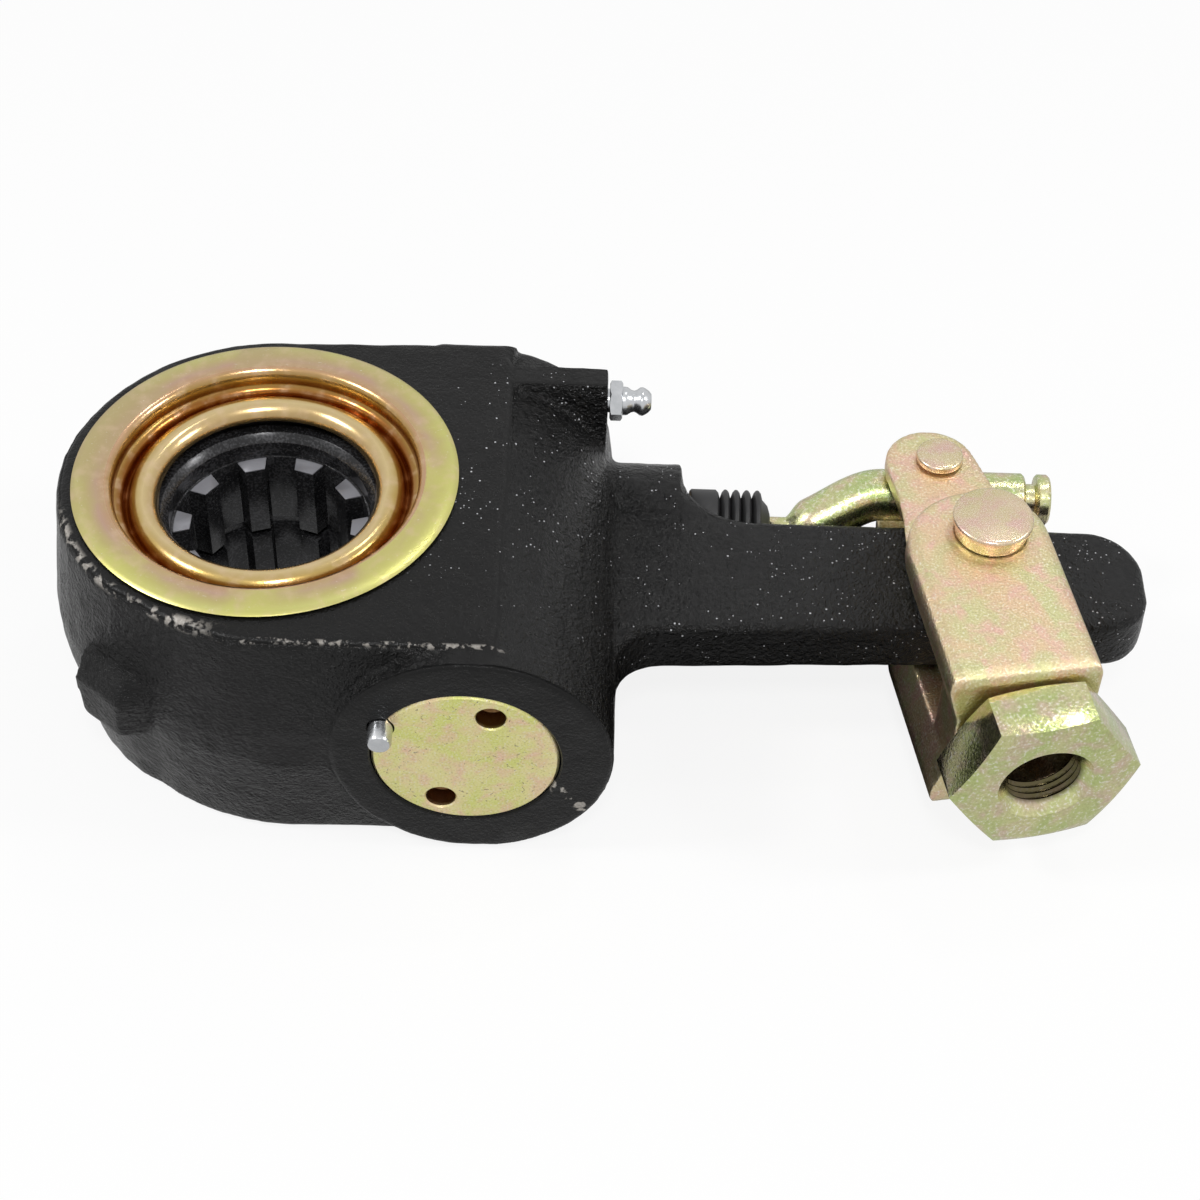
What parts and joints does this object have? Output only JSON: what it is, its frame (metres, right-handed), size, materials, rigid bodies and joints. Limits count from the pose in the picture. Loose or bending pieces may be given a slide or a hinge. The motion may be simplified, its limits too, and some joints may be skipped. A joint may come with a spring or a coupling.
{
  "type": "brake slack adjuster",
  "caption": "Automatic brake slack adjuster: a cast lever with a splined camshaft bore, a worm drive, a clevis yoke and an adjusting link.",
  "frame": {"origin": "under the middle of the whole part, on the plane that the housing's lower face lies on", "axes": "+X along the arm from the camshaft's bore to the arm's tip, +Y towards the adjusting hex, +Z along the camshaft's axis"},
  "size_m": [0.2149, 0.1045, 0.054],
  "materials": {
    "cast_paint": "semi-gloss black paint over a sand casting",
    "zinc_chromate": "yellow zinc chromate plate",
    "black_steel": "blackened machined steel",
    "steel": "machined steel",
    "bright_steel": "bright zinc plate",
    "spring_steel": "dark oiled spring steel",
    "bronze": "plain bearing bronze",
    "rubber": "matte black rubber"
  },
  "bodies": {
    "housing": {"housing": "cast_paint", "side_cover": "zinc_chromate", "lower_thrust_ring": "bronze", "wheel_bushing": "bronze", "upper_seal": "rubber", "rear_bush": "bronze", "shaft_seal": "rubber", "front_thrust_washer": "steel", "disc_spring": "spring_steel", "end_plug": "zinc_chromate", "lock_pin": "bright_steel", "guide_bush": "bronze", "boot": "rubber", "arm_bushing": "bronze", "grease_fitting": "bright_steel", "fitting_ball": "bright_steel"},
    "wheel": {"worm_wheel": "black_steel"},
    "worm": {"worm_shaft": "steel", "pinion_washer": "steel"},
    "pinion": {"rack_pinion": "steel", "clutch_spring": "spring_steel"},
    "plunger": {"rack_plunger": "steel", "ball_retainer": "spring_steel"},
    "link": {"link": "zinc_chromate"},
    "clevis": {"clevis_yoke": "zinc_chromate", "threaded_collar": "zinc_chromate", "large_clevis_pin": "zinc_chromate", "small_clevis_pin": "zinc_chromate", "large_cotter": "steel", "small_cotter": "steel"}
  },
  "joints": [
    {"name": "wheel_spin", "type": "hinge", "parent": "housing", "child": "wheel", "pos_m": [-0.06475, -0.00178, 0.027], "axis": [0, 0, 1], "continuous": true},
    {"name": "worm_spin", "type": "hinge", "parent": "housing", "child": "worm", "pos_m": [-0.02445, -0.00178, 0.027], "axis": [0, 1, 0], "continuous": true},
    {"name": "clevis_swing", "type": "hinge", "parent": "housing", "child": "clevis", "pos_m": [0.07495, -0.00178, 0.027], "axis": [0, 0, 1], "range_deg": [-20, 6]},
    {"name": "link_slide", "type": "slide", "parent": "housing", "child": "plunger", "axis": [1, 0, 0], "range_m": [-0.003, 0.01]},
    {"name": "pinion_spin", "type": "hinge", "parent": "housing", "child": "pinion", "pos_m": [-0.02445, -0.00178, 0.027], "axis": [0, 1, 0], "range_deg": [-67.5, 20.3]},
    {"name": "link_tilt", "type": "hinge", "parent": "plunger", "child": "link", "pos_m": [-0.00513, 0.02012, 0.022], "axis": [0, 0, 1], "range_deg": [-0.3, 1]}
  ],
  "couplings": [
    {"joint": "worm_spin", "follows": "wheel_spin", "ratio": -24},
    {"joint": "link_slide", "follows": "clevis_swing", "m_per_rad": -0.028638},
    {"joint": "pinion_spin", "follows": "clevis_swing", "ratio": 3.3691},
    {"joint": "link_tilt", "follows": "clevis_swing", "ratio": -0.0476}
  ]
}
